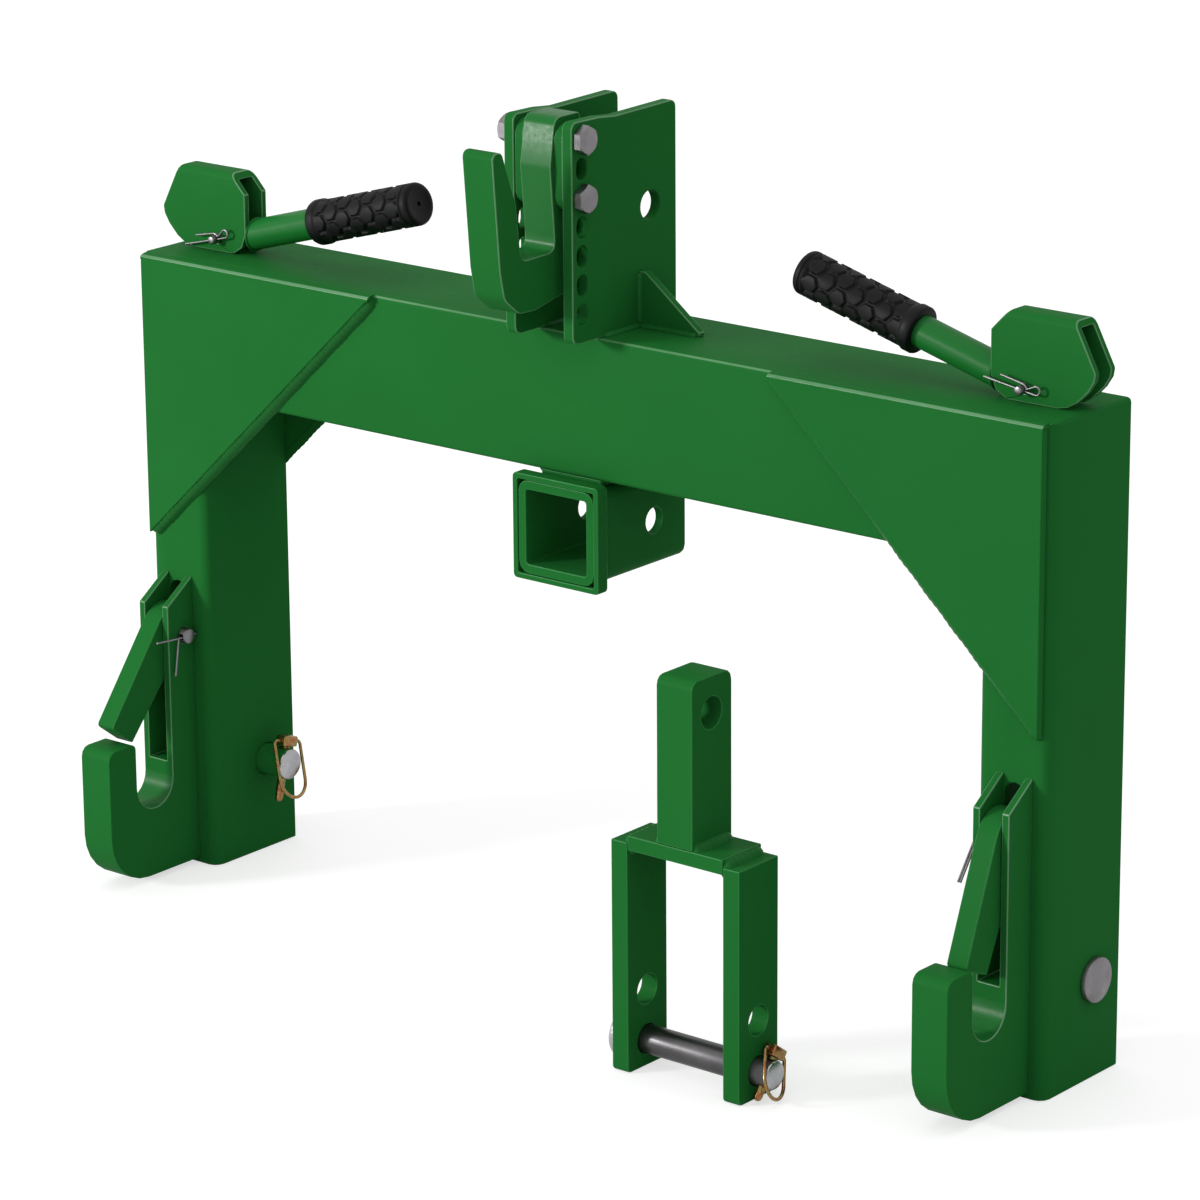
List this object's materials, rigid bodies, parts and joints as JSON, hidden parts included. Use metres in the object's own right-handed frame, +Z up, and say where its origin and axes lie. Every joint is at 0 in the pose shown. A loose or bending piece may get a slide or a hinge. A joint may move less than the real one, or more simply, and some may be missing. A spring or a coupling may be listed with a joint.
{
  "type": "three point quick hitch",
  "caption": "Three point quick hitch: square tube frame with hooks, sprung latches, cam levers, mast with a sliding top hook, receiver and a loose top link adapter.",
  "frame": {"origin": "centre of the bounding box at floor level, where the legs and the adapter stand", "axes": "+X to the right along the beam as seen from the hooks' side, +Y from the hooks back towards the tractor, +Z up"},
  "size_m": [0.7766, 0.2114, 0.5865],
  "materials": {
    "frame_green": "semi-gloss powder coat",
    "steel": "zinc plated, satin",
    "zinc": "yellow zinc plated",
    "grip": "moulded, matt",
    "spring": "oiled"
  },
  "bodies": {
    "frame": {"crossbeam": "frame_green", "left_leg": "frame_green", "right_leg": "frame_green", "left_front_gusset": "frame_green", "left_rear_gusset": "frame_green", "right_front_gusset": "frame_green", "right_rear_gusset": "frame_green", "left_mast_plate": "frame_green", "right_mast_plate": "frame_green", "left_mast_rib": "frame_green", "right_mast_rib": "frame_green", "receiver_tube": "frame_green", "receiver_collar": "frame_green", "receiver_pad": "frame_green", "left_lower_hook": "frame_green", "right_lower_hook": "frame_green", "left_rod_guide": "frame_green", "right_rod_guide": "frame_green", "top_hook": "frame_green", "upper_hook_bolt": "steel", "lower_hook_bolt": "steel", "upper_hook_nut": "steel", "lower_hook_nut": "steel", "left_hook_spacer": "frame_green", "right_hook_spacer": "frame_green", "left_latch_pin": "steel", "right_latch_pin": "steel", "left_cotter": "steel", "right_cotter": "steel", "left_latch_spring": "spring", "right_latch_spring": "spring"},
    "left_rod": {"left_lift_rod": "steel", "left_fork_pin": "steel"},
    "left_lever": {"left_lever_hood": "frame_green", "left_lever_tube": "frame_green", "left_lever_grip": "grip"},
    "left_latch": {"left_latch": "frame_green"},
    "left_clevis_pin": {"left_clevis_pin": "steel"},
    "left_clip": {"left_r_clip": "steel"},
    "left_link_pin": {"left_link_pin": "frame_green"},
    "left_lynch_pin": {"left_lynch_pin": "zinc"},
    "left_lynch_ring": {"left_lynch_ring": "zinc"},
    "right_rod": {"right_lift_rod": "steel", "right_fork_pin": "steel"},
    "right_lever": {"right_lever_hood": "frame_green", "right_lever_tube": "frame_green", "right_lever_grip": "grip"},
    "right_latch": {"right_latch": "frame_green"},
    "right_clevis_pin": {"right_clevis_pin": "steel"},
    "right_clip": {"right_r_clip": "steel"},
    "right_link_pin": {"right_link_pin": "frame_green"},
    "right_lynch_pin": {"right_lynch_pin": "zinc"},
    "right_lynch_ring": {"right_lynch_ring": "zinc"},
    "adapter": {"adapter_left_plate": "frame_green", "adapter_right_plate": "frame_green", "adapter_cross_plate": "frame_green", "adapter_bar": "frame_green"},
    "adapter_pin": {"adapter_pin": "steel"},
    "adapter_lynch_pin": {"adapter_lynch_pin": "zinc"},
    "adapter_lynch_ring": {"adapter_lynch_ring": "zinc"}
  },
  "joints": [
    {"name": "left_rod_slide", "type": "slide", "parent": "frame", "child": "left_rod", "axis": [0, 0, 1], "range_m": [0, 0.04548], "deforming": ["left_latch_spring"]},
    {"name": "left_lever_hinge", "type": "hinge", "parent": "left_rod", "child": "left_lever", "pos_m": [-0.3369, 0.05835, 0.44912], "axis": [0, -1, 0], "range_deg": [0, 90]},
    {"name": "left_latch_hinge", "type": "hinge", "parent": "frame", "child": "left_latch", "pos_m": [-0.3559, 0.00635, 0.172], "axis": [1, 0, 0], "range_deg": [0, 48]},
    {"name": "left_clevis_pin_play", "type": "slide", "parent": "left_lever", "child": "left_clevis_pin", "axis": [0, 1, 0], "range_m": [0, 0.002]},
    {"name": "left_clip_pull", "type": "slide", "parent": "left_clevis_pin", "child": "left_clip", "axis": [0.9703, 0, 0.2419], "range_m": [0, 0.034]},
    {"name": "left_link_pin_play", "type": "slide", "parent": "frame", "child": "left_link_pin", "axis": [-1, 0, 0], "range_m": [0, 0.01]},
    {"name": "left_lynch_pull", "type": "slide", "parent": "left_link_pin", "child": "left_lynch_pin", "axis": [0, 0.2419, 0.9703], "range_m": [0, 0.042]},
    {"name": "left_ring_hinge", "type": "hinge", "parent": "left_lynch_pin", "child": "left_lynch_ring", "pos_m": [-0.3101, 0.07471, 0.08248], "axis": [0, -0.9703, 0.2419], "range_deg": [0, 150]},
    {"name": "right_rod_slide", "type": "slide", "parent": "frame", "child": "right_rod", "axis": [0, 0, 1], "range_m": [0, 0.04548], "deforming": ["right_latch_spring"]},
    {"name": "right_lever_hinge", "type": "hinge", "parent": "right_rod", "child": "right_lever", "pos_m": [0.3369, 0.05835, 0.44912], "axis": [0, 1, 0], "range_deg": [0, 90]},
    {"name": "right_latch_hinge", "type": "hinge", "parent": "frame", "child": "right_latch", "pos_m": [0.3559, 0.00635, 0.172], "axis": [1, 0, 0], "range_deg": [0, 48]},
    {"name": "right_clevis_pin_play", "type": "slide", "parent": "right_lever", "child": "right_clevis_pin", "axis": [0, 1, 0], "range_m": [0, 0.002]},
    {"name": "right_clip_pull", "type": "slide", "parent": "right_clevis_pin", "child": "right_clip", "axis": [0.9877, 0, -0.1564], "range_m": [0, 0.034]},
    {"name": "right_link_pin_play", "type": "slide", "parent": "frame", "child": "right_link_pin", "axis": [1, 0, 0], "range_m": [0, 0.01]},
    {"name": "right_lynch_pull", "type": "slide", "parent": "right_link_pin", "child": "right_lynch_pin", "axis": [0, 0.2419, 0.9703], "range_m": [0, 0.042]},
    {"name": "right_ring_hinge", "type": "hinge", "parent": "right_lynch_pin", "child": "right_lynch_ring", "pos_m": [0.3101, 0.07471, 0.08248], "axis": [0, 0.9703, -0.2419], "range_deg": [0, 150]},
    {"name": "adapter_lift", "type": "slide", "parent": "frame", "child": "adapter", "axis": [0, 0, 1], "range_m": [0, 0.15]},
    {"name": "adapter_pin_play", "type": "slide", "parent": "adapter", "child": "adapter_pin", "axis": [-1, 0, 0], "range_m": [0, 0.0015]},
    {"name": "adapter_lynch_pull", "type": "slide", "parent": "adapter_pin", "child": "adapter_lynch_pin", "axis": [0, 0.5736, 0.8191], "range_m": [0, 0.032]},
    {"name": "adapter_ring_hinge", "type": "hinge", "parent": "adapter_lynch_pin", "child": "adapter_lynch_ring", "pos_m": [0.2415, -0.07736, 0.02984], "axis": [0, -0.8191, 0.5736], "range_deg": [0, 150]}
  ],
  "couplings": [
    {"joint": "left_rod_slide", "follows": "left_lever_hinge", "m_per_rad": 0.028888},
    {"joint": "left_latch_hinge", "follows": "left_lever_hinge", "ratio": 0.53333},
    {"joint": "right_rod_slide", "follows": "right_lever_hinge", "m_per_rad": 0.028888},
    {"joint": "right_latch_hinge", "follows": "right_lever_hinge", "ratio": 0.53333}
  ]
}
